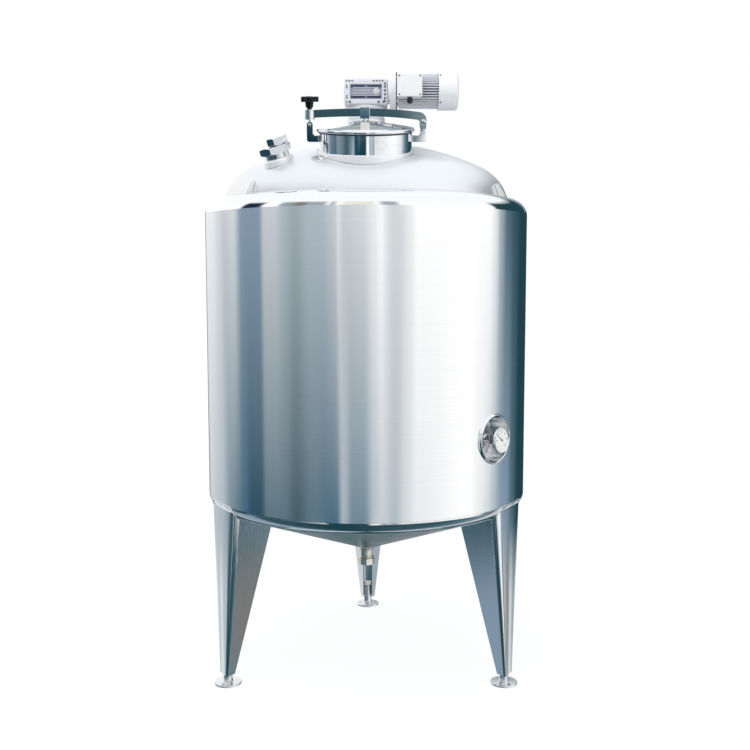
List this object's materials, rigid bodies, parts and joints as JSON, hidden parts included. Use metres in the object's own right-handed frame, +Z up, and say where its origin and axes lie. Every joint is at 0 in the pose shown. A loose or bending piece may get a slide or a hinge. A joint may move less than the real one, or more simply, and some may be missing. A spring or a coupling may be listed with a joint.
{
  "type": "agitator tank",
  "caption": "Jacketed stainless mixing tank on three folded legs, with a domed top, a hinged manway lid, a top-mounted gearmotor, a dial thermometer and a bottom outlet.",
  "frame": {"origin": "on the floor, at the middle of the box round the whole tank; the tank's own vertical axis stands 15 mm in front of it, at y = -0.01535", "axes": "+Z up along the tank's axis; -Y towards the manway, the front; +X to the right seen from the front, the side of the motor and the thermometer"},
  "size_m": [1.3, 1.3308, 2.4072],
  "materials": {
    "polished_stainless": "polished stainless steel",
    "satin_stainless": "satin stainless steel",
    "cast_grey": "silver-grey painted casting",
    "black_plastic": "moulded black plastic",
    "rubber_seal": "moulded rubber",
    "instrument_steel": "turned steel"
  },
  "bodies": {
    "root": {"jacket_wall": "polished_stainless", "jacket_bottom": "polished_stainless", "inner_shell": "satin_stainless", "inner_cone": "satin_stainless", "top_head": "satin_stainless", "manway_neck": "polished_stainless", "manway_collar": "satin_stainless", "hinge_bracket": "polished_stainless", "hinge_pin": "satin_stainless", "latch_lug": "polished_stainless", "latch_pin": "satin_stainless", "earthing_tab": "satin_stainless", "inlet_pad": "satin_stainless", "inlet_stub": "satin_stainless", "inlet_nut": "polished_stainless", "inlet_cap": "polished_stainless", "drive_nozzle": "satin_stainless", "drive_lantern": "cast_grey", "gearbox_housing": "cast_grey", "gearbox_cover": "cast_grey", "oil_plug": "instrument_steel", "motor_flange": "cast_grey", "motor_body": "cast_grey", "fan_cowl": "cast_grey", "terminal_box": "cast_grey", "cable_gland": "black_plastic", "port_sleeve": "polished_stainless", "thermometer": "instrument_steel", "leg_left": "satin_stainless", "leg_right": "satin_stainless", "leg_rear": "satin_stainless", "foot_left": "satin_stainless", "foot_right": "satin_stainless", "foot_rear": "satin_stainless", "lifting_lug_left": "satin_stainless", "lifting_lug_right": "satin_stainless", "lifting_lug_rear": "satin_stainless", "outlet_stub": "satin_stainless", "outlet_nut": "polished_stainless"},
    "lid_and_arm": {"bridge_arm": "polished_stainless", "arm_end_block": "polished_stainless", "arm_saddle": "polished_stainless", "lid_post": "polished_stainless", "manway_lid": "satin_stainless", "lid_gasket": "rubber_seal"},
    "knob": {"star_knob": "black_plastic"},
    "stud": {"swing_stud": "satin_stainless"},
    "agitator": {"agitator_shaft": "satin_stainless", "impeller": "satin_stainless"}
  },
  "joints": [
    {"name": "lid_hinge", "type": "hinge", "parent": "root", "child": "lid_and_arm", "pos_m": [0.212, -0.3959, 2.15903], "axis": [0, 0.9744, 0.225], "range_deg": [0, 100]},
    {"name": "stud_hinge", "type": "hinge", "parent": "root", "child": "stud", "pos_m": [-0.204, -0.39342, 2.14831], "axis": [0, -0.9744, -0.225], "range_deg": [0, 100]},
    {"name": "knob_spin", "type": "hinge", "parent": "lid_and_arm", "child": "knob", "pos_m": [-0.204, -0.40744, 2.20901], "axis": [0, -0.225, 0.9744], "continuous": true},
    {"name": "agitator_spin", "type": "hinge", "parent": "root", "child": "agitator", "pos_m": [0, -0.01535, 1.2], "axis": [0, 0, 1], "continuous": true}
  ]
}
